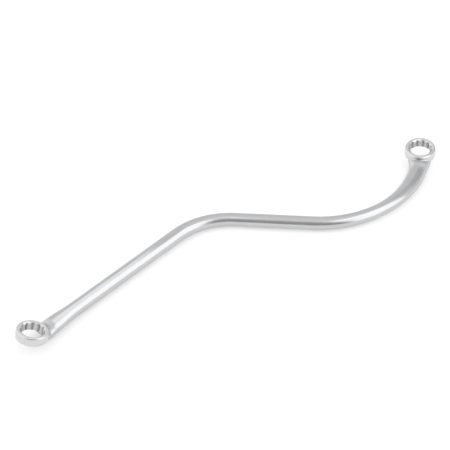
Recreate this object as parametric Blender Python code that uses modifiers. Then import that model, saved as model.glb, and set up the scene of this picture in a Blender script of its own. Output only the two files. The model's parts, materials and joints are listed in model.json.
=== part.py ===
"""Injector pump wrench: an S-bent round shank with a raised twelve-point ring head at each end.

The shank's axis lies in one level plane. Both ring centres lie on a line along X, and the wrench
rests on Z = 0 with its rings uppermost.
"""

import math

import bmesh
import bpy
from mathutils import Matrix, Vector

MM = 0.001

# Ring: both heads take the same nut
ACROSS_FLATS = 13.0 * MM
POINT_COUNT = 12
RING_WALL = 2.5 * MM
RING_HEIGHT = 6.2 * MM
RING_EDGE = 0.9 * MM
FORGING_DRAFT = math.radians(4.0)
LEAD_IN = 0.45 * MM
LEAD_IN_SLOPE = math.radians(40.0)

# Crank of the heads: rise of a ring above the shank's axis, and how far the long leg's ring tips up
RING_RISE = 5.0 * MM
LONG_LEG_TIP = math.radians(15.0)

# Route of the shank's axis, from ring centre to ring centre
LONG_LEG = 122.5 * MM
FIRST_BEND_RADIUS = 45.0 * MM
FIRST_BEND = math.radians(51.0)
MIDDLE_RUN = 49.0 * MM
SECOND_BEND_RADIUS = 66.0 * MM
SECOND_BEND = math.radians(91.0)

# Shank: the bar thins through the first bend and flares towards each neck
LONG_LEG_RADIUS = 4.6 * MM
HOOK_RADIUS = 4.25 * MM
LONG_LEG_FLARE = 18.0 * MM
HOOK_FLARE = 44.0 * MM

# Neck: from the joint with the shank to its root in the ring's wall, which stands above it as a collar
NECK_REACH = 6.0 * MM
NECK_STRAIGHT = 3.0 * MM
NECK_HALF_WIDTH = 5.8 * MM
NECK_SPREAD = math.radians(55.0)
COLLAR = 2.4 * MM
NECK_SINK = 0.3 * MM
ELLIPSE = 2.0
NECK_SQUARENESS = 2.6
JOINT_GAP = 0.3 * MM

# Fineness of the facets
BEND_STEP = math.radians(3.0)
FLARE_STEPS = 7
SIDES = 40
NECK_STEPS = 12
RING_STEPS = 72
EDGE_STEPS = 5
WELD_DISTANCE = 0.001 * MM

# Worked out from the sizes above
POINT_RADIUS = ACROSS_FLATS / math.sqrt(3.0)
TOOTH_RADIUS = ACROSS_FLATS / 2 / math.cos(math.pi / POINT_COUNT)
RING_RADIUS = POINT_RADIUS + RING_WALL
HALF_HEIGHT = RING_HEIGHT / 2
NECK_HALF_HEIGHT = LONG_LEG_RADIUS
NECK_LENGTH = RING_RADIUS + NECK_REACH
NECK_NOSE = NECK_LENGTH - NECK_STRAIGHT
FIRST_BEND_RUN = FIRST_BEND_RADIUS * FIRST_BEND
SECOND_BEND_RUN = SECOND_BEND_RADIUS * SECOND_BEND
ROUTE = (
    (LONG_LEG, 0.0),
    (FIRST_BEND_RUN, -FIRST_BEND),
    (MIDDLE_RUN, 0.0),
    (SECOND_BEND_RUN, SECOND_BEND),
)
ROUTE_LENGTH = sum(length for length, _ in ROUTE)

# Satin chrome plate
CHROME_COLOUR = (0.58, 0.58, 0.59, 1.0)
CHROME_ROUGHNESS = 0.24
CHROME_METALLIC = 1.0


def clear_scene():
    for old in list(bpy.data.objects):
        bpy.data.objects.remove(old, do_unlink=True)


def new_collection(name):
    collection = bpy.data.collections.new(name)
    bpy.context.scene.collection.children.link(collection)
    return collection


def chrome_material(name):
    material = bpy.data.materials.new(name)
    material.use_nodes = True
    shader = material.node_tree.nodes["Principled BSDF"]
    shader.inputs["Base Color"].default_value = CHROME_COLOUR
    shader.inputs["Roughness"].default_value = CHROME_ROUGHNESS
    shader.inputs["Metallic"].default_value = CHROME_METALLIC
    return material


def mix(first, second, share):
    return first + (second - first) * share


def ease(share):
    """0 to 1 with a level start and end."""
    share = min(max(share, 0.0), 1.0)
    return share * share * (3.0 - 2.0 * share)


def on_route(distance):
    """(point, heading) of the shank's axis at this distance from the long leg's ring centre."""
    point, heading = Vector((0.0, 0.0, 0.0)), 0.0
    for length, turn in ROUTE:
        run = min(distance, length)
        half_swing = turn * run / length / 2
        chord = run * math.sin(half_swing) / half_swing if half_swing else run
        heading += half_swing
        point = point + chord * Vector((math.cos(heading), math.sin(heading), 0.0))
        heading += half_swing
        distance -= run
        if distance <= 0.0:
            break
    return point, heading


def section(distance, half_width, low, high, squareness=ELLIPSE):
    """Points round a superellipse square to the axis, from low to high above the axis's plane."""
    centre, heading = on_route(distance)
    sideways = Vector((-math.sin(heading), math.cos(heading), 0.0))
    points = []
    for side in range(SIDES):
        angle = 2 * math.pi * side / SIDES
        across = math.copysign(abs(math.cos(angle)) ** (2 / squareness), math.cos(angle))
        upward = math.copysign(abs(math.sin(angle)) ** (2 / squareness), math.sin(angle))
        height = mix(low, high, (1 + upward) / 2)
        points.append(centre + half_width * across * sideways + Vector((0.0, 0.0, height)))
    return points


def lofted(name, sections, collection):
    """A closed solid through these sections, with a flat cap at each end."""
    body = bmesh.new()
    loops = [[body.verts.new(point) for point in points] for points in sections]
    for loop, following in zip(loops, loops[1:]):
        for side in range(SIDES):
            after = (side + 1) % SIDES
            face = body.faces.new((loop[side], loop[after], following[after], following[side]))
            face.smooth = True
    body.faces.new(loops[0])
    body.faces.new(loops[-1])
    bmesh.ops.recalc_face_normals(body, faces=body.faces)
    mesh = bpy.data.meshes.new(name)
    body.to_mesh(mesh)
    body.free()
    obj = bpy.data.objects.new(name, mesh)
    collection.objects.link(obj)
    return obj


def shank_section(distance):
    """The bar's section, with its draw-down in the first bend and its flare at both ends."""
    bar = mix(LONG_LEG_RADIUS, HOOK_RADIUS, ease((distance - LONG_LEG) / FIRST_BEND_RUN))
    long_leg_flare = 1.0 - ease((distance - NECK_LENGTH) / LONG_LEG_FLARE)
    hook_flare = 1.0 - ease((ROUTE_LENGTH - distance - NECK_LENGTH) / HOOK_FLARE)
    flare = max(long_leg_flare, hook_flare)
    half_height = mix(bar, NECK_HALF_HEIGHT, flare)
    return section(distance, mix(bar, NECK_HALF_WIDTH, flare), -half_height, half_height)


def make_shank(collection):
    """The bar from one neck joint to the other."""
    first = NECK_LENGTH + JOINT_GAP
    last = ROUTE_LENGTH - first
    distances = [mix(first, NECK_LENGTH + LONG_LEG_FLARE, i / FLARE_STEPS) for i in range(FLARE_STEPS + 1)]
    start = 0.0
    for length, turn in ROUTE:
        steps = max(1, math.ceil(abs(turn) / BEND_STEP))
        distances += [start + length * i / steps for i in range(steps)]
        start += length
    distances = sorted(distance for distance in distances if first <= distance < last)
    shank = lofted("shank", [shank_section(distance) for distance in distances + [last]], collection)
    shank.data.materials.append(chrome_material("shank_chrome"))
    return shank


def turned(name, profile, collection):
    """A solid of revolution about Z, from (radius, height) points that run down its outer side."""
    mesh = bpy.data.meshes.new(name)
    points = [(radius, 0.0, height) for radius, height in profile]
    mesh.from_pydata(points, [(i, i + 1) for i in range(len(points) - 1)], [])
    obj = bpy.data.objects.new(name, mesh)
    collection.objects.link(obj)
    screw = obj.modifiers.new("turn", "SCREW")
    screw.steps = RING_STEPS
    screw.render_steps = RING_STEPS
    screw.use_merge_vertices = True
    screw.merge_threshold = WELD_DISTANCE
    screw.use_smooth_shade = True
    return obj


def ring_profile():
    """Half the ring blank's section: flat faces, rounded edges and a wall with draft to its middle."""
    shoulder = HALF_HEIGHT - RING_EDGE
    wall = RING_RADIUS - shoulder * math.tan(FORGING_DRAFT)
    upper = [(0.0, HALF_HEIGHT)]
    for step in range(EDGE_STEPS + 1):
        angle = math.pi / 2 * step / EDGE_STEPS
        across = wall - RING_EDGE + RING_EDGE * math.sin(angle)
        upper.append((across, shoulder + RING_EDGE * math.cos(angle)))
    lower = [(across, -height) for across, height in reversed(upper)]
    return upper + [(RING_RADIUS, 0.0)] + lower


def lead_in_profile():
    """A spool whose two cones chamfer the socket's mouths, with its waist clear of the teeth."""
    mouth = POINT_RADIUS + LEAD_IN
    waist = TOOTH_RADIUS - LEAD_IN
    slope = math.tan(LEAD_IN_SLOPE)
    flange = mouth + LEAD_IN
    reach = RING_HEIGHT + NECK_LENGTH
    upper = [
        (0.0, reach),
        (flange, reach),
        (flange, HALF_HEIGHT + LEAD_IN * slope),
        (waist, HALF_HEIGHT - (mouth - waist) * slope),
    ]
    return upper + [(across, -height) for across, height in reversed(upper)]


def make_socket_cutter(name, collection):
    """The twelve-point prism: an outline of points and teeth in turn, drawn through both faces."""
    curve = bpy.data.curves.new(name, "CURVE")
    curve.dimensions = "2D"
    curve.fill_mode = "BOTH"
    curve.extrude = RING_HEIGHT
    spline = curve.splines.new("POLY")
    spline.points.add(2 * POINT_COUNT - 1)
    spline.use_cyclic_u = True
    for corner, spot in enumerate(spline.points):
        radius = TOOTH_RADIUS if corner % 2 == 0 else POINT_RADIUS
        angle = math.pi * corner / POINT_COUNT
        spot.co = (radius * math.cos(angle), radius * math.sin(angle), 0.0, 1.0)
    outline = bpy.data.objects.new(name, curve)
    collection.objects.link(outline)
    graph = bpy.context.evaluated_depsgraph_get()
    mesh = bpy.data.meshes.new_from_object(outline.evaluated_get(graph))
    bpy.data.objects.remove(outline, do_unlink=True)
    welded = bmesh.new()
    welded.from_mesh(mesh)
    bmesh.ops.remove_doubles(welded, verts=welded.verts, dist=WELD_DISTANCE)
    bmesh.ops.recalc_face_normals(welded, faces=welded.faces)
    welded.to_mesh(mesh)
    welded.free()
    cutter = bpy.data.objects.new(name, mesh)
    collection.objects.link(cutter)
    return cutter


def make_neck(name, tip, route_start, direction, collection):
    """A loft from the joint to a wide root in the ring's wall, with a rounded nose under the ring."""
    root = RING_RADIUS * math.cos(NECK_SPREAD)
    root_half_width = RING_RADIUS * math.sin(NECK_SPREAD) - NECK_SINK
    root_low = RING_RISE - root * math.tan(tip) - HALF_HEIGHT + NECK_SINK
    root_high = RING_RISE - RING_RADIUS * math.tan(tip) + HALF_HEIGHT - COLLAR
    sections = []
    for step in range(NECK_STEPS + 1):
        share = step / NECK_STEPS
        reach = mix(root, NECK_LENGTH, share * share)
        spread = (NECK_LENGTH - reach) / (NECK_LENGTH - root)
        nose = max(0.0, (NECK_NOSE - reach) / (NECK_NOSE - root))
        sections.append(
            section(
                route_start + direction * reach,
                mix(NECK_HALF_WIDTH, root_half_width, spread * spread),
                mix(-NECK_HALF_HEIGHT, root_low, 1.0 - math.sqrt(1.0 - nose * nose)),
                mix(NECK_HALF_HEIGHT, root_high, ease((NECK_LENGTH - reach) / NECK_REACH)),
                mix(ELLIPSE, NECK_SQUARENESS, ease(spread)),
            )
        )
    return lofted(name, sections, collection)


def make_ring_head(name, route_start, direction, collection, cutters, tip=0.0):
    """A ring blank joined with its neck, then broached and chamfered. It is level unless it has a tip."""
    centre, heading = on_route(route_start)
    neckward = heading if direction > 0 else heading + math.pi
    seat = Matrix.Translation(centre + Vector((0.0, 0.0, RING_RISE)))
    seat = seat @ Matrix.Rotation(neckward, 4, "Z") @ Matrix.Rotation(tip, 4, "Y")
    head = turned(name, ring_profile(), collection)
    neck = make_neck(name + "_neck", tip, route_start, direction, cutters)
    socket = make_socket_cutter(name + "_socket", cutters)
    lead_in = turned(name + "_lead_in", lead_in_profile(), cutters)
    for piece in (head, socket, lead_in):
        piece.matrix_local = seat
    for helper, operation in ((neck, "UNION"), (socket, "DIFFERENCE"), (lead_in, "DIFFERENCE")):
        helper.hide_render = True
        helper.display_type = "WIRE"
        boolean = head.modifiers.new(helper.name, "BOOLEAN")
        boolean.object = helper
        boolean.operation = operation
        boolean.solver = "EXACT"
    head.data.materials.append(chrome_material(name + "_chrome"))
    return head


def stand_on_floor(frame, parts):
    """Moves the frame so that the parts' box stands on Z = 0, centred on the origin."""
    bpy.context.view_layer.update()
    graph = bpy.context.evaluated_depsgraph_get()
    corners = []
    for part in parts:
        evaluated = part.evaluated_get(graph)
        mesh = evaluated.to_mesh()
        corners += [evaluated.matrix_world @ vertex.co for vertex in mesh.vertices]
        evaluated.to_mesh_clear()
    low = Vector(min(corner[axis] for corner in corners) for axis in range(3))
    high = Vector(max(corner[axis] for corner in corners) for axis in range(3))
    frame.location = (-(low.x + high.x) / 2, -(low.y + high.y) / 2, -low.z)
    bpy.context.view_layer.update()


def build():
    clear_scene()
    wrench = new_collection("injector_pump_wrench")
    cutters = new_collection("cutters")
    parts = (
        make_shank(wrench),
        make_ring_head("long_leg_ring_head", 0.0, 1, wrench, cutters, LONG_LEG_TIP),
        make_ring_head("hook_ring_head", ROUTE_LENGTH, -1, wrench, cutters),
    )
    hook_end, _ = on_route(ROUTE_LENGTH)
    frame = bpy.data.objects.new("wrench_frame", None)
    frame.rotation_euler.z = -math.atan2(hook_end.y, hook_end.x)
    wrench.objects.link(frame)
    for piece in (*wrench.objects, *cutters.objects):
        if piece != frame:
            piece.parent = frame
    stand_on_floor(frame, parts)


build()
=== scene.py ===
"""Injector pump wrench in satin chrome, on a pale floor in a soft light tent."""

import json
import math

import bmesh
import bpy
import numpy as np
from mathutils import Matrix, Vector


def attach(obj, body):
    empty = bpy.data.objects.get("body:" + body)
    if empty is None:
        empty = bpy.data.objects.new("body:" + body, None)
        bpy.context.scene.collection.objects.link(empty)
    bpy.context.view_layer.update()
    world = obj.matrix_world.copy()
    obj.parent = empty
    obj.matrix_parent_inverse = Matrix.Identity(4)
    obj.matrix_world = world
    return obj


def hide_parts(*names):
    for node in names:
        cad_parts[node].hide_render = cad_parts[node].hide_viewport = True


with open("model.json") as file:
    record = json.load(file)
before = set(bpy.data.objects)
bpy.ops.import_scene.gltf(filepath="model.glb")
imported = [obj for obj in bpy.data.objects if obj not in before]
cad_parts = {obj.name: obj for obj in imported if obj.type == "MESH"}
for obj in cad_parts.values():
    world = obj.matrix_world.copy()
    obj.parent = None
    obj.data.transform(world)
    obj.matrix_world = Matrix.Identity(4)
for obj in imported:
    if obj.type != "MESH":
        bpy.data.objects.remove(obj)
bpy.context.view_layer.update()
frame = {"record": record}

MM = 0.001
UP = Vector((0.0, 0.0, 1.0))
WHITE = (1.0, 1.0, 1.0, 1.0)

# Ring: both heads take the same nut
ACROSS_FLATS = 13.0 * MM
POINT_COUNT = 12
RING_WALL = 2.5 * MM
RING_HEIGHT = 6.2 * MM
RING_EDGE = 0.9 * MM
FORGING_DRAFT = math.radians(4.0)
BELLY = 0.8 * MM
LEAD_IN = 0.45 * MM
LEAD_IN_SLOPE = math.radians(40.0)
CORNER_REACH = 0.22 * MM

# Crank of the heads: rise of a ring above the shank's axis, and how far the long leg's ring tips up
RING_RISE = 5.0 * MM
LONG_LEG_TIP = math.radians(15.0)

# Route of the shank's axis, from ring centre to ring centre
LONG_LEG = 122.5 * MM
FIRST_BEND_RADIUS = 45.0 * MM
FIRST_BEND = math.radians(51.0)
MIDDLE_RUN = 49.0 * MM
SECOND_BEND_RADIUS = 66.0 * MM
SECOND_BEND = math.radians(91.0)

# Shank: the bar thins through the first bend and flares towards each neck
LONG_LEG_RADIUS = 4.6 * MM
HOOK_RADIUS = 4.25 * MM
LONG_LEG_FLARE = 18.0 * MM
HOOK_FLARE = 44.0 * MM

# Neck: from the joint with the shank to its root in the ring's wall, which stands above it as a collar
NECK_REACH = 6.0 * MM
NECK_STRAIGHT = 3.0 * MM
NECK_HALF_WIDTH = 5.8 * MM
NECK_SPREAD = math.radians(55.0)
COLLAR = 2.4 * MM
NECK_SINK = 0.3 * MM
ELLIPSE = 2.0
NECK_SQUARENESS = 2.6
JOINT_GAP = 0.3 * MM
NECK_FILLET = 0.5 * MM
NECK_END_EDGE = 1.6 * MM
RELIEF_EDGE = 0.4 * MM

# Fineness of the meshes
CELL = 0.22 * MM
GRID_MARGIN = 4 * CELL
NUDGE = CELL / 20
JOINT_SNAP = CELL / 4
RELAX_ROUNDS = 5
SURFACE_STEPS = 3
STATION = 1.4 * MM
SIDES = 64
CUTTER_STEPS = 144
CORNER_STEPS = 4
WELD = 0.01 * MM
SHARP_ANGLE = math.radians(32.0)

# Least values, which keep the distance fields from dividing by nothing
LEAST_SIZE = 0.001
LEAST_STEEPNESS = 1.0
LEAST_SLOPE = 0.25

# Worked out from the sizes above
POINT_RADIUS = ACROSS_FLATS / math.sqrt(3.0)
TOOTH_RADIUS = ACROSS_FLATS / 2 / math.cos(math.pi / POINT_COUNT)
RING_RADIUS = POINT_RADIUS + RING_WALL
HALF_HEIGHT = RING_HEIGHT / 2
MOUTH_RADIUS = POINT_RADIUS + LEAD_IN
RELIEF_RADIUS = MOUTH_RADIUS + LEAD_IN
NECK_HALF_HEIGHT = LONG_LEG_RADIUS
NECK_LENGTH = RING_RADIUS + NECK_REACH
NECK_NOSE = NECK_LENGTH - NECK_STRAIGHT
JOINT = NECK_LENGTH + JOINT_GAP / 2
FIRST_BEND_RUN = FIRST_BEND_RADIUS * FIRST_BEND
SECOND_BEND_RUN = SECOND_BEND_RADIUS * SECOND_BEND
ROUTE = (
    (LONG_LEG, 0.0),
    (FIRST_BEND_RUN, -FIRST_BEND),
    (MIDDLE_RUN, 0.0),
    (SECOND_BEND_RUN, SECOND_BEND),
)
ROUTE_LENGTH = sum(length for length, _ in ROUTE)

# Camera: the photograph's viewing angle
VIEW_TURN = math.radians(32.344)
VIEW_ELEVATION = math.radians(43.458)
VIEW_ROLL = math.radians(-1.478)
VIEW_DISTANCE = 1.3397
VIEW_AIM = Vector((0.0047, 0.0166, 0.0046))
FOCAL_LENGTH = 170.22
SENSOR = 36.0

# Light tent: how bright its wall and its top are, where 1 is white, and what its other parts multiply
TENT_WALL = 0.92
TENT_TOP = 1.0
TENT_LEFT = 1.4
TENT_BACK = 0.98
TENT_OPENING = 0.48
TENT_GAP = 0.72
GAP_ELEVATION = math.radians(35.0)

# Where the tent's parts fade into each other, as cosines of the angle to up, right, front or the gap
TOP_FADE = (0.7, 1.0)
LEFT_FADE = (-0.8, -0.3)
BACK_FADE = (-0.7, -0.1)
OPENING_FADE = (0.25, 1.0)
OPENING_SIDES = (0.35, 0.65)
GAP_FADE = (0.86, 0.98)

# Softboxes, whose light adds to the tent's: name, width, height, strength, place and aim, as distances
# to the right, to the front and above the origin. Their power is in watts per square metre at strength 1
SOFTBOX_POWER = 4.0
SOFTBOXES = (
    ("side_softbox", 0.3, 0.42, 0.67, (0.23, 0.1, 0.21), (0.0, 0.0, 0.1)),
    ("top_softbox", 0.11, 0.1, 0.38, (-0.0665, 0.0016, 0.1), (-0.0729, -0.0061, 0.0)),
)

# Chrome plate: tones, roughness from low to high, fineness of its patterns per metre, and their depths
NOISE_RANGE = (0.3, 0.7)
PLATE_DARK = (0.525, 0.528, 0.536, 1.0)
PLATE_LIGHT = (0.575, 0.577, 0.585, 1.0)
PLATE_POLISHED = (0.68, 0.68, 0.685, 1.0)
PLATE_WORN = (0.75, 0.75, 0.755, 1.0)
# Painted shade: the dark colour laid into the socket, deepest in its points, and into the creases
SOCKET_SHADE_TONE = (0.23, 0.23, 0.235, 1.0)
BUMP_STRENGTH = 0.5
CLOUDS = 120.0
CLOUD_DETAIL = 3.0
WAVES = 90.0
WAVE_DETAIL = 1.0
WAVE_DEPTH = 0.15 * MM
BAR_ROUGHNESS = (0.19, 0.25)
HALF_TONE = (0.0, 0.5)
LINE_DETAIL = 3.0
FLATS = 600.0
FLAT_STRETCH = (0.06, 1.0, 1.0)
FLAT_DEPTH = 0.1 * MM
STREAKS = 2200.0
STREAK_STRETCH = (0.02, 1.0, 1.0)
STREAK_ROUGHNESS = (-0.04, 0.04)
STREAK_DEPTH = 0.02 * MM
SCRATCHES = 1500.0
SCRATCH_STRETCH = (0.05, 1.0, 1.0)
SCRATCH_TURN = math.radians(28.0)
SCRATCH_RANGE = (0.68, 0.74)
SCRATCH_ROUGHNESS = 0.08
SCRATCH_DEPTH = 0.004 * MM
HEAD_ROUGHNESS = (0.2, 0.27)
GRAIN = 4500.0
GRAIN_DETAIL = 4.0
GRAIN_ROUGHNESS = (-0.03, 0.03)
GRAIN_DEPTH = 0.006 * MM
POLISH_SHARE = (0.7, 1.0)
WEAR_REACH = 0.35 * MM
WEAR_SAMPLES = 6
WEAR_RANGE = (0.9, 0.99)
WEAR_POLISH = 0.06
# Painted shade: occlusion within the crevice reach, and depth in the socket, darken the colour towards the
# socket's shade tone and also raise the roughness
CREVICE_REACH = 3.0 * MM
CREVICE_SAMPLES = 8
CREVICE_RANGE = (0.55, 0.95)
SOCKET_FALL = 1.5
SHADE_AND_DULLNESS_SHARE = (0.8, 1.0)
DULL_ROUGHNESS = 0.22

# A map and two attributes that the meshes carry for their materials, a tooth's mark as a share of a
# point's, and the width over which the ring's polish fades
UNROLLED = "unrolled"
SOCKET_DEPTH = "socket_depth"
RING_POLISH = "ring_polish"
TOOTH_DEPTH = 0.3
POLISH_EDGE = 0.6 * MM

# Places of a mix node's sockets for colours, because its sockets share their names
MIX_SHARE, MIX_FIRST, MIX_SECOND, MIX_RESULT = 0, 6, 7, 2

# Floor
FLOOR_REACH = 6.0
FLOOR_COLOUR = (0.7, 0.7, 0.7, 1.0)
FLOOR_GLOW = 0.36


def mix(first, second, share):
    return first + (second - first) * share


def ease(share):
    """0 to 1 with a level start and end."""
    share = np.clip(share, 0.0, 1.0)
    return share * share * (3.0 - 2.0 * share)


def on_route(distance):
    """(point, heading) of the shank's axis at this distance from the long leg's ring centre."""
    point, heading = Vector((0.0, 0.0, 0.0)), 0.0
    for length, turn in ROUTE:
        run = min(distance, length)
        half_swing = turn * run / length / 2
        chord = run * math.sin(half_swing) / half_swing if half_swing else run
        heading += half_swing
        point = point + chord * Vector((math.cos(heading), math.sin(heading), 0.0))
        heading += half_swing
        distance -= run
        if distance <= 0.0:
            break
    return point, heading


def route_seat():
    """Places the route in the frame, from the long leg's opening and the line through both rings."""
    low, high = frame["record"]["physics"]["openings"][0]["box_m"]
    ring = (Vector(low) + Vector(high)) / 2
    end, _ = on_route(ROUTE_LENGTH)
    start = ring - RING_RISE * UP
    return Matrix.Translation(start) @ Matrix.Rotation(-math.atan2(end.y, end.x), 4, "Z")


def add_object(name, data):
    """An object with this mesh, camera or lamp, in the scene."""
    obj = bpy.data.objects.new(name, data)
    bpy.context.scene.collection.objects.link(obj)
    return obj


def add_piece(name, mesh, material, node):
    """A piece of the wrench, which stands for one CAD node."""
    mesh.materials.append(material)
    piece = add_object(name, mesh)
    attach(piece, "root")
    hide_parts(node)


def solid_mesh(name, body):
    """A mesh of this closed body, with its faces turned outwards. The body is used up."""
    bmesh.ops.recalc_face_normals(body, faces=body.faces)
    mesh = bpy.data.meshes.new(name)
    body.to_mesh(mesh)
    body.free()
    return mesh


def shade(mesh):
    """Smooth shading, apart from edges that turn sharply."""
    mesh.shade_smooth()
    mesh.set_sharp_from_angle(angle=SHARP_ANGLE)


def shank_sizes(distance):
    """(half width, half height) of the bar, with its draw-down and its flare at both ends."""
    bar = mix(LONG_LEG_RADIUS, HOOK_RADIUS, ease((distance - LONG_LEG) / FIRST_BEND_RUN))
    long_leg_flare = 1.0 - ease((distance - NECK_LENGTH) / LONG_LEG_FLARE)
    hook_flare = 1.0 - ease((ROUTE_LENGTH - distance - NECK_LENGTH) / HOOK_FLARE)
    flare = max(long_leg_flare, hook_flare)
    return float(mix(bar, NECK_HALF_WIDTH, flare)), float(mix(bar, NECK_HALF_HEIGHT, flare))


def make_shank(seat, material):
    """The bar from joint to joint, unrolled on its UV map in metres along and around."""
    count = round((ROUTE_LENGTH - 2 * JOINT) / STATION)
    stations = np.linspace(JOINT, ROUTE_LENGTH - JOINT, count).tolist()
    angles = [2 * math.pi * side / SIDES for side in range(SIDES)]
    body = bmesh.new()
    loops = []
    for distance in stations:
        centre, heading = on_route(distance)
        sideways = Vector((-math.sin(heading), math.cos(heading), 0.0))
        width, height = shank_sizes(distance)
        loops.append([
            body.verts.new(
                seat @ (centre + width * math.cos(angle) * sideways + height * math.sin(angle) * UP)
            )
            for angle in angles
        ])
    unrolled = body.loops.layers.uv.new(UNROLLED)
    girth = 2 * math.pi * LONG_LEG_RADIUS
    for i, (loop, following) in enumerate(zip(loops, loops[1:])):
        for side in range(SIDES):
            after = (side + 1) % SIDES
            face = body.faces.new((loop[side], following[side], following[after], loop[after]))
            spots = ((i, side), (i + 1, side), (i + 1, side + 1), (i, side + 1))
            for corner, (station, turn) in zip(face.loops, spots):
                corner[unrolled].uv = (stations[station], girth * turn / SIDES)
    body.faces.new(loops[0])
    body.faces.new(loops[-1])
    mesh = solid_mesh("shank_bar", body)
    shade(mesh)
    add_piece("shank_bar", mesh, material, "shank")


def rounded_and(first, second, radius):
    """Distance to the space that two fields share, with its edge rounded."""
    corner = np.hypot(np.maximum(first + radius, 0.0), np.maximum(second + radius, 0.0))
    return np.minimum(np.maximum(first, second), -radius) + corner


def filleted_or(first, second, radius):
    """Distance to the space that either field fills, with a fillet where they meet."""
    corner = np.hypot(np.maximum(radius - first, 0.0), np.maximum(radius - second, 0.0))
    return np.maximum(np.minimum(first, second), radius) - corner


def head_field(tip, bend_radius):
    """Distance to a ring blank and its neck. X runs from the ring's centre along the neck's axis."""
    root = RING_RADIUS * math.cos(NECK_SPREAD)
    root_half_width = RING_RADIUS * math.sin(NECK_SPREAD) - NECK_SINK
    root_low = RING_RISE - root * math.tan(tip) - HALF_HEIGHT + NECK_SINK
    root_high = RING_RISE - RING_RADIUS * math.tan(tip) + HALF_HEIGHT - COLLAR

    def field(points):
        x, y, z = np.moveaxis(points, -1, 0)
        lifted = z - RING_RISE
        along = x * math.cos(tip) - lifted * math.sin(tip)
        axial = np.abs(x * math.sin(tip) + lifted * math.cos(tip))
        radial = np.hypot(along, y)
        belly = np.hypot(axial, BELLY) - BELLY
        wall = (radial - RING_RADIUS) * math.cos(FORGING_DRAFT) + belly * math.sin(FORGING_DRAFT)
        ring = rounded_and(wall, axial - HALF_HEIGHT, RING_EDGE)
        if bend_radius:
            reach = bend_radius * np.arctan2(x, y + bend_radius)
            across = np.hypot(x, y + bend_radius) - bend_radius
        else:
            reach, across = x, y
        spread = np.clip((NECK_LENGTH - reach) / (NECK_LENGTH - root), 0.0, 1.0)
        nose = np.clip((NECK_NOSE - reach) / (NECK_NOSE - root), 0.0, 1.0)
        half_width = mix(NECK_HALF_WIDTH, root_half_width, spread * spread)
        low = mix(-NECK_HALF_HEIGHT, root_low, 1.0 - np.sqrt(1.0 - nose * nose))
        high = mix(NECK_HALF_HEIGHT, root_high, ease((NECK_LENGTH - reach) / NECK_REACH))
        power = mix(ELLIPSE, NECK_SQUARENESS, ease(spread))
        half_height = (high - low) / 2
        u = np.abs(across / half_width)
        v = np.abs((z - (high + low) / 2) / half_height)
        size = np.maximum((u ** power + v ** power) ** (1.0 / power), LEAST_SIZE)
        steepness = np.hypot(u ** (power - 1) / half_width, v ** (power - 1) / half_height)
        neck = (size - 1.0) * size ** (power - 1) / np.maximum(steepness, LEAST_STEEPNESS)
        neck = rounded_and(neck, RELIEF_RADIUS - radial, RELIEF_EDGE)
        return filleted_or(ring, rounded_and(neck, root - reach, NECK_END_EDGE), NECK_FILLET)

    return field


def onto_surface(field, points):
    """Moves points along the field's slope until it is zero."""
    for _ in range(SURFACE_STEPS):
        slope = np.empty_like(points)
        for axis in range(3):
            nudge = np.zeros(3)
            nudge[axis] = NUDGE
            slope[:, axis] = (field(points + nudge) - field(points - nudge)) / (2 * NUDGE)
        steepness = np.maximum((slope ** 2).sum(axis=1), LEAST_SLOPE)
        points = points - (field(points) / steepness)[:, None] * slope
    return points


def surface_net(field, low, high):
    """Points and quads of the surface where the field is zero, one point in each cell it crosses."""
    axes = [np.arange(start, stop, CELL) for start, stop in zip(low, high)]
    grid = np.stack(np.meshgrid(*axes, indexing="ij"), axis=-1)
    inside = field(grid) < 0.0
    cells = tuple(size - 1 for size in inside.shape)
    filled = np.zeros(cells, int)
    corners = list(np.ndindex(2, 2, 2))
    for corner in corners:
        filled += inside[tuple(slice(start, start + size) for start, size in zip(corner, cells))]
    crossed = (filled > 0) & (filled < len(corners))
    number = np.full(cells, -1)
    number[crossed] = np.arange(crossed.sum())
    quads = []
    for axis in range(3):
        order = (axis, (axis + 1) % 3, (axis + 2) % 3)
        solid, index = inside.transpose(order), number.transpose(order)
        start, end = solid[:-1, 1:-1, 1:-1], solid[1:, 1:-1, 1:-1]
        around = np.stack(
            (index[:, :-1, :-1], index[:, 1:, :-1], index[:, 1:, 1:], index[:, :-1, 1:]), axis=-1
        )
        quads += [around[start & ~end], around[end & ~start][:, ::-1]]
    quads = np.concatenate(quads)
    points = onto_surface(field, grid[:-1, :-1, :-1][crossed] + CELL / 2)
    shares = np.bincount(quads.ravel(), minlength=len(points))
    for _ in range(RELAX_ROUNDS):
        centres = points[quads].mean(axis=1)
        sums = np.zeros_like(points)
        np.add.at(sums, quads, centres[:, None, :])
        means = sums / np.maximum(shares, 1)[:, None]
        points = onto_surface(field, np.where(shares[:, None] > 0, means, points))
    return points, quads


def star_outline():
    """The socket's outline: points and teeth in turn, each with a small rounded corner."""
    corners = []
    for corner in range(2 * POINT_COUNT):
        radius = TOOTH_RADIUS if corner % 2 == 0 else POINT_RADIUS
        angle = math.pi * corner / POINT_COUNT
        corners.append(Vector((radius * math.cos(angle), radius * math.sin(angle), 0.0)))
    outline = []
    for before, corner, after in zip(corners[-1:] + corners[:-1], corners, corners[1:] + corners[:1]):
        start = corner + CORNER_REACH * (before - corner).normalized()
        end = corner + CORNER_REACH * (after - corner).normalized()
        for step in range(CORNER_STEPS + 1):
            share = step / CORNER_STEPS
            outline.append(mix(mix(start, corner, share), mix(corner, end, share), share))
    return outline


def lead_in_profile():
    """Half of a spool whose two cones chamfer the socket's mouths, with its waist clear of the teeth."""
    waist = TOOTH_RADIUS - LEAD_IN
    flange = MOUTH_RADIUS + LEAD_IN / 2
    slope = math.tan(LEAD_IN_SLOPE)
    upper = [
        (flange, HALF_HEIGHT + (flange - MOUTH_RADIUS) * slope),
        (waist, HALF_HEIGHT - (MOUTH_RADIUS - waist) * slope),
    ]
    return upper + [(across, -height) for across, height in reversed(upper)]


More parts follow.
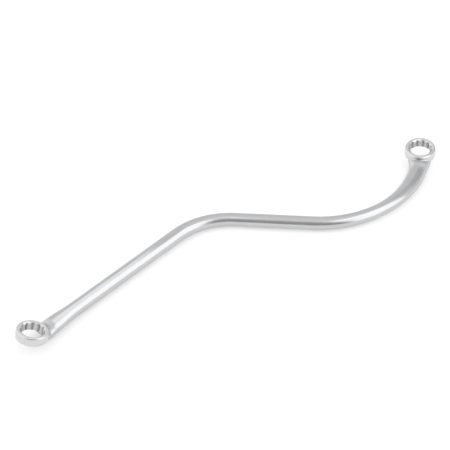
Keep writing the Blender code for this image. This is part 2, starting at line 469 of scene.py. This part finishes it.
def stacked(name, loops):
    """An object whose closed mesh joins these loops of points in turn, capped at both ends."""
    body = bmesh.new()
    rings = [[body.verts.new(point) for point in loop] for loop in loops]
    for ring, following in zip(rings, rings[1:]):
        for i, vert in enumerate(ring):
            after = (i + 1) % len(ring)
            body.faces.new((vert, ring[after], following[after], following[i]))
    body.faces.new(rings[0])
    body.faces.new(rings[-1])
    return add_object(name, solid_mesh(name, body))


def socket_cutters():
    """The twelve-point prism and the lead-in spool, about Z at the origin."""
    prism = stacked("prism", [
        [point + level * UP for point in star_outline()]
        for level in (-RING_HEIGHT, RING_HEIGHT)
    ])
    turns = [2 * math.pi * step / CUTTER_STEPS for step in range(CUTTER_STEPS)]
    spool = stacked("spool", [
        [Vector((across * math.cos(turn), across * math.sin(turn), height)) for turn in turns]
        for across, height in lead_in_profile()
    ])
    return prism, spool


def blank_mesh(name, field, joint, joint_heading):
    """The ring blank and neck, cut off flat at the joint."""
    reach = RING_RADIUS + GRID_MARGIN
    bend_room = NECK_HALF_WIDTH / 2
    past_joint = NECK_REACH / 2
    low = (-reach, -reach - bend_room, -NECK_HALF_HEIGHT - GRID_MARGIN)
    high = (JOINT + past_joint, reach, RING_RISE + RING_HEIGHT + GRID_MARGIN)
    points, quads = surface_net(field, low, high)
    net = bpy.data.meshes.new(name)
    net.from_pydata(points.tolist(), [], quads.tolist())
    body = bmesh.new()
    body.from_mesh(net)
    bpy.data.meshes.remove(net)
    bmesh.ops.delete(body, geom=[vert for vert in body.verts if not vert.link_faces], context="VERTS")
    everything = [*body.verts, *body.edges, *body.faces]
    bmesh.ops.bisect_plane(
        body, geom=everything, dist=JOINT_SNAP, plane_co=joint, plane_no=joint_heading, clear_outer=True
    )
    bmesh.ops.holes_fill(body, edges=[edge for edge in body.edges if edge.is_boundary])
    return solid_mesh(name, body)


def weld(mesh):
    """Joins vertices that the cuts left in one place, and drops the faces that this flattens."""
    body = bmesh.new()
    body.from_mesh(mesh)
    bmesh.ops.remove_doubles(body, verts=body.verts, dist=WELD)
    bmesh.ops.dissolve_degenerate(body, edges=body.edges, dist=WELD)
    body.to_mesh(mesh)
    body.free()


def mark_head(mesh, tip):
    """Stores two marks on each vertex: how deep it lies in the socket, and whether it is on the ring."""
    points = np.empty(3 * len(mesh.vertices), np.float32)
    mesh.vertices.foreach_get("co", points)
    x, y, z = points.reshape(-1, 3).T
    lifted = z - RING_RISE
    radial = np.hypot(x * math.cos(tip) - lifted * math.sin(tip), y)
    axial = np.abs(x * math.sin(tip) + lifted * math.cos(tip))
    inside = np.clip((MOUTH_RADIUS - radial) / LEAD_IN, 0.0, 1.0)
    pointed = np.clip((radial - TOOTH_RADIUS) / (POINT_RADIUS - TOOTH_RADIUS), 0.0, 1.0)
    beyond = np.maximum(radial - RING_RADIUS, axial - HALF_HEIGHT)
    marks = {
        # The socket's depth steers the painted shade in the head's material, darkest in the points
        SOCKET_DEPTH: inside * mix(TOOTH_DEPTH, 1.0, pointed),
        RING_POLISH: np.clip(1.0 - beyond / POLISH_EDGE, 0.0, 1.0),
    }
    for name, values in marks.items():
        mesh.attributes.new(name, "FLOAT", "POINT").data.foreach_set("value", values.astype(np.float32))


def make_head(name, node, material, seat, tip, bend_radius):
    """A filleted blank, then broached and chamfered with real cuts."""
    if bend_radius:
        swing = JOINT / bend_radius
        joint = bend_radius * Vector((math.sin(swing), math.cos(swing) - 1.0, 0.0))
        heading = Vector((math.cos(swing), -math.sin(swing), 0.0))
    else:
        joint, heading = Vector((JOINT, 0.0, 0.0)), Vector((1.0, 0.0, 0.0))
    blank_name = name + "_blank"
    blank = add_object(blank_name, blank_mesh(blank_name, head_field(tip, bend_radius), joint, heading))
    cutters = socket_cutters()
    for cutter in cutters:
        cutter.matrix_world = Matrix.Translation(RING_RISE * UP) @ Matrix.Rotation(tip, 4, "Y")
        cut = blank.modifiers.new(cutter.name, "BOOLEAN")
        cut.object = cutter
        cut.operation = "DIFFERENCE"
        cut.solver = "EXACT"
    bpy.context.view_layer.update()
    graph = bpy.context.evaluated_depsgraph_get()
    mesh = bpy.data.meshes.new_from_object(blank.evaluated_get(graph))
    for helper in (blank, *cutters):
        bpy.data.objects.remove(helper, do_unlink=True)
    mesh.name = name
    weld(mesh)
    mark_head(mesh, tip)
    mesh.transform(seat)
    shade(mesh)
    add_piece(name, mesh, material, node)


def add_node(tree, kind, inputs=None, **settings):
    """A node with its settings, and a value or a socket for each of its inputs."""
    node = tree.nodes.new(kind)
    for name, value in settings.items():
        setattr(node, name, value)
    for name, value in (inputs or {}).items():
        if isinstance(value, bpy.types.NodeSocket):
            tree.links.new(value, node.inputs[name])
        else:
            node.inputs[name].default_value = value
    return node


def noise(tree, place, scale, detail):
    inputs = {"Vector": place, "Scale": scale, "Detail": detail}
    return add_node(tree, "ShaderNodeTexNoise", inputs).outputs["Fac"]


def span(tree, value, start, end, low, high, kind="LINEAR"):
    """Maps a value from start..end to low..high, and holds it there beyond."""
    inputs = {"Value": value, "From Min": start, "From Max": end, "To Min": low, "To Max": high}
    return add_node(tree, "ShaderNodeMapRange", inputs, interpolation_type=kind).outputs["Result"]


def calc(tree, operation, first, second):
    return add_node(tree, "ShaderNodeMath", {0: first, 1: second}, operation=operation).outputs[0]


def alignment(tree, first, second):
    """How far two directions agree, as the cosine of the angle between them."""
    inputs = {0: first, 1: second}
    return add_node(tree, "ShaderNodeVectorMath", inputs, operation="DOT_PRODUCT").outputs["Value"]


def mark(tree, name):
    """A mark that the mesh carries on its vertices."""
    return add_node(tree, "ShaderNodeAttribute", attribute_name=name).outputs["Fac"]


def about(tree, value, low, high):
    """Maps a noise, most of which lies near its middle, to low..high."""
    return span(tree, value, *NOISE_RANGE, low, high)


def tint(tree, share, first, second):
    """A colour between two colours, by a share."""
    inputs = {MIX_SHARE: share, MIX_FIRST: first, MIX_SECOND: second}
    return add_node(tree, "ShaderNodeMix", inputs, data_type="RGBA").outputs[MIX_RESULT]


def raised(tree, height, depth, normal=None):
    """A normal that is bent by a height of this depth."""
    inputs = {"Strength": BUMP_STRENGTH, "Distance": depth, "Height": height}
    if normal:
        inputs["Normal"] = normal
    return add_node(tree, "ShaderNodeBump", inputs).outputs["Normal"]


def plated(name):
    """A chrome material with its nodes, its shader and the place on the piece."""
    material = bpy.data.materials.new(name)
    material.use_nodes = True
    tree = material.node_tree
    shader = tree.nodes["Principled BSDF"]
    shader.inputs["Metallic"].default_value = 1.0
    return material, tree, shader, add_node(tree, "ShaderNodeTexCoord").outputs["Object"]


def shank_chrome():
    """Chrome on a drawn bar: cloudy tone, shallow flats, polishing streaks and a few fine scratches."""
    material, tree, shader, place = plated("shank_chrome")
    unrolled = add_node(tree, "ShaderNodeUVMap", uv_map=UNROLLED).outputs["UV"]

    def lines(scale, turn, fineness):
        inputs = {"Vector": unrolled, "Scale": scale, "Rotation": (0.0, 0.0, turn)}
        stretched = add_node(tree, "ShaderNodeMapping", inputs).outputs["Vector"]
        return noise(tree, stretched, fineness, LINE_DETAIL)

    cloud = noise(tree, place, CLOUDS, CLOUD_DETAIL)
    streaks = lines(STREAK_STRETCH, 0.0, STREAKS)
    scratches = span(tree, lines(SCRATCH_STRETCH, SCRATCH_TURN, SCRATCHES), *SCRATCH_RANGE, 0.0, 1.0)
    share = calc(tree, "ADD", about(tree, cloud, *HALF_TONE), about(tree, streaks, *HALF_TONE))
    tree.links.new(tint(tree, share, PLATE_DARK, PLATE_LIGHT), shader.inputs["Base Color"])
    roughness = about(tree, cloud, *BAR_ROUGHNESS)
    roughness = calc(tree, "ADD", roughness, about(tree, streaks, *STREAK_ROUGHNESS))
    roughness = calc(tree, "ADD", roughness, calc(tree, "MULTIPLY", scratches, SCRATCH_ROUGHNESS))
    tree.links.new(roughness, shader.inputs["Roughness"])
    normal = raised(tree, noise(tree, place, WAVES, WAVE_DETAIL), WAVE_DEPTH)
    normal = raised(tree, lines(FLAT_STRETCH, 0.0, FLATS), FLAT_DEPTH, normal)
    normal = raised(tree, streaks, STREAK_DEPTH, normal)
    tree.links.new(raised(tree, scratches, -SCRATCH_DEPTH, normal), shader.inputs["Normal"])
    return material


def head_chrome():
    """Chrome on a forged head: fine grain, a polished ring with bright edges, and painted shade in the
    socket and in creases, where the surface is also rougher.
    """
    material, tree, shader, place = plated("head_chrome")
    cloud = noise(tree, place, CLOUDS, CLOUD_DETAIL)
    grain = noise(tree, place, GRAIN, GRAIN_DETAIL)
    polish = calc(tree, "MULTIPLY", mark(tree, RING_POLISH), about(tree, cloud, *POLISH_SHARE))
    rounded = add_node(tree, "ShaderNodeBevel", {"Radius": WEAR_REACH}, samples=WEAR_SAMPLES)
    plain = add_node(tree, "ShaderNodeNewGeometry")
    match = alignment(tree, rounded.outputs["Normal"], plain.outputs["Normal"])
    wear = calc(tree, "MULTIPLY", span(tree, match, *WEAR_RANGE, 1.0, 0.0), polish)
    # Painted shade: occlusion darkens the colour in creases, such as where the neck meets the collar
    reach = {"Distance": CREVICE_REACH}
    sky = add_node(tree, "ShaderNodeAmbientOcclusion", reach, samples=CREVICE_SAMPLES, only_local=True)
    crevice = span(tree, sky.outputs["AO"], *CREVICE_RANGE, 1.0, 0.0)
    # Painted shade in the socket, deepest in its points; the same mask also raises the roughness
    socket = calc(tree, "POWER", mark(tree, SOCKET_DEPTH), SOCKET_FALL)
    shade_and_dullness = calc(tree, "MAXIMUM", socket, crevice)
    shade_and_dullness = calc(tree, "MULTIPLY", shade_and_dullness, about(tree, grain, *SHADE_AND_DULLNESS_SHARE))
    tone = tint(tree, about(tree, cloud, 0.0, 1.0), PLATE_DARK, PLATE_LIGHT)
    tone = tint(tree, polish, tone, PLATE_POLISHED)
    tone = tint(tree, wear, tone, PLATE_WORN)
    # Painted shade: the crease and socket mask darkens the colour towards a dark tone
    tree.links.new(tint(tree, shade_and_dullness, tone, SOCKET_SHADE_TONE), shader.inputs["Base Color"])
    roughness = about(tree, cloud, *HEAD_ROUGHNESS)
    roughness = calc(tree, "ADD", roughness, about(tree, grain, *GRAIN_ROUGHNESS))
    roughness = calc(tree, "ADD", roughness, calc(tree, "MULTIPLY", shade_and_dullness, DULL_ROUGHNESS))
    roughness = calc(tree, "SUBTRACT", roughness, calc(tree, "MULTIPLY", wear, WEAR_POLISH))
    tree.links.new(roughness, shader.inputs["Roughness"])
    normal = raised(tree, noise(tree, place, WAVES, WAVE_DETAIL), WAVE_DEPTH)
    tree.links.new(raised(tree, grain, GRAIN_DEPTH, normal), shader.inputs["Normal"])
    return material


def make_camera():
    """The photograph's camera, and the level directions to its right and towards it."""
    right = Vector((math.cos(VIEW_TURN), -math.sin(VIEW_TURN), 0.0))
    away = Vector((math.sin(VIEW_TURN), math.cos(VIEW_TURN), 0.0))
    view = away * math.cos(VIEW_ELEVATION) - UP * math.sin(VIEW_ELEVATION)
    place = Matrix.Translation(VIEW_AIM - VIEW_DISTANCE * view)
    turn = Matrix((right, right.cross(view), -view)).transposed().to_4x4()
    camera = add_object("camera", bpy.data.cameras.new("camera"))
    camera.matrix_world = place @ turn @ Matrix.Rotation(VIEW_ROLL, 4, "Z")
    camera.data.sensor_width = SENSOR
    camera.data.lens = FOCAL_LENGTH
    bpy.context.scene.camera = camera
    return right, -away


def make_world(right, front):
    """A light tent: bright on the left, dark at the camera's opening and dim at a gap behind the right."""
    world = bpy.data.worlds.new("light_tent")
    bpy.context.scene.world = world
    world.use_nodes = True
    tree = world.node_tree
    heading = add_node(tree, "ShaderNodeTexCoord").outputs["Generated"]

    def towards(direction):
        return alignment(tree, heading, direction)

    def fade(value, start, end, low, high):
        return span(tree, value, start, end, low, high, "SMOOTHSTEP")

    frontward = towards(front)
    sideways = towards(right)
    aside = calc(tree, "ABSOLUTE", sideways, 0.0)
    gap = (right - front).normalized() * math.cos(GAP_ELEVATION) + UP * math.sin(GAP_ELEVATION)
    opening = fade(frontward, *OPENING_FADE, 0.0, 1.0)
    opening = calc(tree, "MULTIPLY", opening, fade(aside, *OPENING_SIDES, 1.0, 0.0))
    strength = fade(towards(UP), *TOP_FADE, TENT_WALL, TENT_TOP)
    for part in (
        fade(opening, 0.0, 1.0, 1.0, TENT_OPENING),
        fade(sideways, *LEFT_FADE, TENT_LEFT, 1.0),
        fade(frontward, *BACK_FADE, TENT_BACK, 1.0),
        fade(towards(gap), *GAP_FADE, 1.0, TENT_GAP),
    ):
        strength = calc(tree, "MULTIPLY", strength, part)
    background = tree.nodes["Background"].inputs
    background["Color"].default_value = WHITE
    tree.links.new(strength, background["Strength"])


def make_softboxes(right, front):
    """Soft rectangular lights, each of which faces its aim."""
    for name, width, height, strength, place, aim in SOFTBOXES:
        lamp = bpy.data.lights.new(name, "AREA")
        lamp.shape = "RECTANGLE"
        lamp.size, lamp.size_y = width, height
        lamp.energy = strength * SOFTBOX_POWER * width * height
        spot, target = (
            across * right + ahead * front + level * UP for across, ahead, level in (place, aim)
        )
        turn = (spot - target).to_track_quat("Z", "Y").to_matrix().to_4x4()
        softbox = add_object(name, lamp)
        softbox.matrix_world = Matrix.Translation(spot) @ turn
        softbox.visible_camera = False


def make_floor():
    """A sheet of pale paper, white to the eye and in the metal, which can be seen through from below."""
    mesh = bpy.data.meshes.new("floor")
    corners = [(x * FLOOR_REACH, y * FLOOR_REACH, 0.0) for x, y in ((-1, -1), (1, -1), (1, 1), (-1, 1))]
    mesh.from_pydata(corners, [], [(0, 1, 2, 3)])
    material = bpy.data.materials.new("floor_paper")
    material.use_nodes = True
    tree = material.node_tree
    paper = tree.nodes["Principled BSDF"]
    paper.inputs["Base Color"].default_value = FLOOR_COLOUR
    paper.inputs["Roughness"].default_value = 1.0
    paper.inputs["Specular IOR Level"].default_value = 0.0
    paper.inputs["Emission Color"].default_value = WHITE
    rays = add_node(tree, "ShaderNodeLightPath").outputs
    seen = calc(tree, "MAXIMUM", rays["Is Camera Ray"], rays["Is Glossy Ray"])
    seen = calc(tree, "MAXIMUM", seen, rays["Is Transmission Ray"])
    tree.links.new(calc(tree, "MULTIPLY", seen, FLOOR_GLOW), paper.inputs["Emission Strength"])
    below = add_node(tree, "ShaderNodeNewGeometry").outputs["Backfacing"]
    clear = add_node(tree, "ShaderNodeBsdfTransparent").outputs["BSDF"]
    both = add_node(tree, "ShaderNodeMixShader", {0: below, 1: paper.outputs["BSDF"], 2: clear})
    tree.links.new(both.outputs["Shader"], tree.nodes["Material Output"].inputs["Surface"])
    mesh.materials.append(material)
    add_object("floor", mesh)


def build():
    bpy.context.scene.view_settings.view_transform = "Standard"
    right, front = make_camera()
    make_world(right, front)
    make_softboxes(right, front)
    make_floor()
    seat = route_seat()
    end, end_heading = on_route(ROUTE_LENGTH)
    hook_seat = seat @ Matrix.Translation(end) @ Matrix.Rotation(end_heading + math.pi, 4, "Z")
    make_shank(seat, shank_chrome())
    head_material = head_chrome()
    make_head("long_leg_ring", "long_leg_ring_head", head_material, seat, LONG_LEG_TIP, 0.0)
    make_head("hook_ring", "hook_ring_head", head_material, hook_seat, 0.0, SECOND_BEND_RADIUS)


build()
